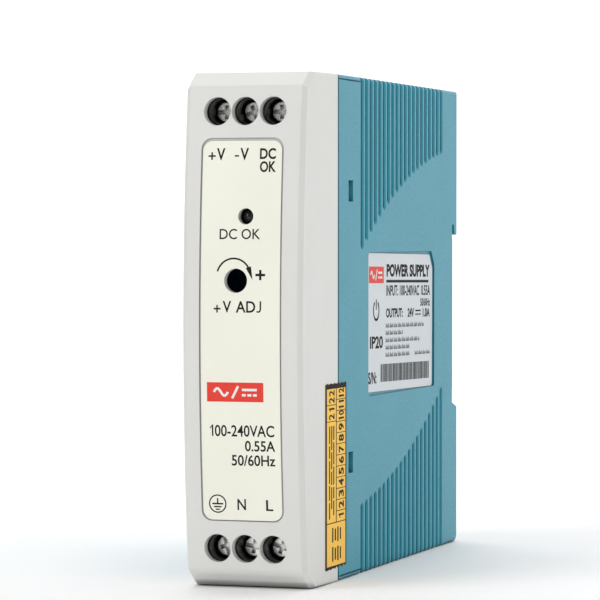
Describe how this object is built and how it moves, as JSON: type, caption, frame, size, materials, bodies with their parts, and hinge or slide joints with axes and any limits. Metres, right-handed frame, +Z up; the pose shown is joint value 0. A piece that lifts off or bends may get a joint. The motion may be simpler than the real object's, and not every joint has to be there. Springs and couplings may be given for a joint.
{
  "type": "din rail power supply",
  "caption": "Slim DIN rail power supply: bowed light grey front cover with screw terminals above and below, vented blue-green case, sprung rail latch at the back.",
  "frame": {"origin": "bottom centre of the unit's box", "axes": "+X to the right seen from the front, +Y from the front face back to the rail, +Z up"},
  "size_m": [0.0226, 0.1, 0.09],
  "materials": {
    "cover_plastic": "fine satin moulded, warm light grey",
    "case_plastic": "fine satin moulded, blue-green",
    "label_vinyl": "printed film, cream",
    "rating_film": "printed film, pale silver grey",
    "seal_paper": "printed tamper label, yellow",
    "terminal_plastic": "moulded, dark grey",
    "screw_steel": "zinc plated",
    "cage_steel": "zinc plated",
    "contact_metal": "tinned brass",
    "spring_steel": "drawn wire",
    "board_laminate": "green solder mask",
    "insulation_film": "milky film",
    "black_moulding": "moulded black",
    "capacitor_sleeve": "shrunk sleeve, near black",
    "fuse_moulding": "moulded brown",
    "varistor_coating": "dipped blue",
    "thermistor_coating": "dipped dark green",
    "disc_coating": "dipped light blue",
    "film_capacitor_case": "moulded yellow",
    "ferrite": "sintered dark grey",
    "copper_wire": "enamelled copper",
    "winding_tape": "yellow tape",
    "heatsink_aluminium": "bare sheet",
    "lead_metal": "tinned wire",
    "led_lens": "tinted green",
    "trimmer_moulding": "moulded blue",
    "rotor_moulding": "moulded white"
  },
  "bodies": {
    "housing": {"front_cover": "cover_plastic", "front_label": "label_vinyl", "case_tub": "case_plastic", "case_side_panel": "case_plastic", "rating_label": "rating_film", "seal_sticker": "seal_paper", "latch_spring": "spring_steel", "output_terminal_block": "terminal_plastic", "input_terminal_block": "terminal_plastic", "output_contacts": "contact_metal", "input_contacts": "contact_metal", "status_led": "led_lens", "led_leads": "lead_metal", "trimmer_body": "trimmer_moulding", "main_board": "board_laminate", "insulation_sheet": "insulation_film", "fuse": "fuse_moulding", "varistor": "varistor_coating", "inrush_thermistor": "thermistor_coating", "safety_capacitor": "disc_coating", "line_filter_capacitor": "film_capacitor_case", "filter_choke_core": "ferrite", "filter_choke_windings": "copper_wire", "bridge_rectifier": "black_moulding", "bulk_capacitor": "capacitor_sleeve", "primary_heatsink": "heatsink_aluminium", "primary_switch": "black_moulding", "transformer_core": "ferrite", "transformer_winding": "winding_tape", "transformer_bobbin": "black_moulding", "secondary_heatsink": "heatsink_aluminium", "output_rectifier": "black_moulding", "heatsink_screws": "screw_steel", "output_capacitors": "capacitor_sleeve", "output_choke_core": "ferrite", "output_choke_winding": "copper_wire", "optocoupler": "black_moulding", "controller_chip": "black_moulding"},
    "output_screw_1": {"output_screw_1": "screw_steel"},
    "output_clamp_cage_1": {"output_clamp_cage_1": "cage_steel"},
    "output_screw_2": {"output_screw_2": "screw_steel"},
    "output_clamp_cage_2": {"output_clamp_cage_2": "cage_steel"},
    "output_screw_3": {"output_screw_3": "screw_steel"},
    "output_clamp_cage_3": {"output_clamp_cage_3": "cage_steel"},
    "input_screw_1": {"input_screw_1": "screw_steel"},
    "input_clamp_cage_1": {"input_clamp_cage_1": "cage_steel"},
    "input_screw_2": {"input_screw_2": "screw_steel"},
    "input_clamp_cage_2": {"input_clamp_cage_2": "cage_steel"},
    "input_screw_3": {"input_screw_3": "screw_steel"},
    "input_clamp_cage_3": {"input_clamp_cage_3": "cage_steel"},
    "trimmer_rotor": {"trimmer_rotor": "rotor_moulding"},
    "rail_latch": {"rail_latch": "case_plastic"}
  },
  "joints": [
    {"name": "output_screw_1_turn", "type": "hinge", "parent": "housing", "child": "output_screw_1", "pos_m": [-0.00508, -0.042, 0.0829], "axis": [0, 1, 0], "range_deg": [0, 2088]},
    {"name": "output_cage_1_rise", "type": "slide", "parent": "housing", "child": "output_clamp_cage_1", "axis": [0, -1, 0], "range_m": [0, 0.0029]},
    {"name": "output_screw_2_turn", "type": "hinge", "parent": "housing", "child": "output_screw_2", "pos_m": [0, -0.042, 0.0829], "axis": [0, 1, 0], "range_deg": [0, 2088]},
    {"name": "output_cage_2_rise", "type": "slide", "parent": "housing", "child": "output_clamp_cage_2", "axis": [0, -1, 0], "range_m": [0, 0.0029]},
    {"name": "output_screw_3_turn", "type": "hinge", "parent": "housing", "child": "output_screw_3", "pos_m": [0.00508, -0.042, 0.0829], "axis": [0, 1, 0], "range_deg": [0, 2088]},
    {"name": "output_cage_3_rise", "type": "slide", "parent": "housing", "child": "output_clamp_cage_3", "axis": [0, -1, 0], "range_m": [0, 0.0029]},
    {"name": "input_screw_1_turn", "type": "hinge", "parent": "housing", "child": "input_screw_1", "pos_m": [-0.00508, -0.042, 0.0071], "axis": [0, 1, 0], "range_deg": [0, 2088]},
    {"name": "input_cage_1_rise", "type": "slide", "parent": "housing", "child": "input_clamp_cage_1", "axis": [0, -1, 0], "range_m": [0, 0.0029]},
    {"name": "input_screw_2_turn", "type": "hinge", "parent": "housing", "child": "input_screw_2", "pos_m": [0, -0.042, 0.0071], "axis": [0, 1, 0], "range_deg": [0, 2088]},
    {"name": "input_cage_2_rise", "type": "slide", "parent": "housing", "child": "input_clamp_cage_2", "axis": [0, -1, 0], "range_m": [0, 0.0029]},
    {"name": "input_screw_3_turn", "type": "hinge", "parent": "housing", "child": "input_screw_3", "pos_m": [0.00508, -0.042, 0.0071], "axis": [0, 1, 0], "range_deg": [0, 2088]},
    {"name": "input_cage_3_rise", "type": "slide", "parent": "housing", "child": "input_clamp_cage_3", "axis": [0, -1, 0], "range_m": [0, 0.0029]},
    {"name": "trimmer_turn", "type": "hinge", "parent": "housing", "child": "trimmer_rotor", "pos_m": [-0.0011, -0.0396, 0.0536], "axis": [0, 1, 0], "range_deg": [-135, 135]},
    {"name": "rail_latch_slide", "type": "slide", "parent": "housing", "child": "rail_latch", "axis": [0, 0, 1], "range_m": [-0.004, 0], "stiffness_N_per_m": 1500, "springref_m": 0.002, "deforming": ["latch_spring"]}
  ],
  "couplings": [
    {"joint": "output_screw_1_turn", "follows": "output_cage_1_rise", "rad_per_m": 12566},
    {"joint": "output_screw_2_turn", "follows": "output_cage_2_rise", "rad_per_m": 12566},
    {"joint": "output_screw_3_turn", "follows": "output_cage_3_rise", "rad_per_m": 12566},
    {"joint": "input_screw_1_turn", "follows": "input_cage_1_rise", "rad_per_m": 12566},
    {"joint": "input_screw_2_turn", "follows": "input_cage_2_rise", "rad_per_m": 12566},
    {"joint": "input_screw_3_turn", "follows": "input_cage_3_rise", "rad_per_m": 12566}
  ]
}
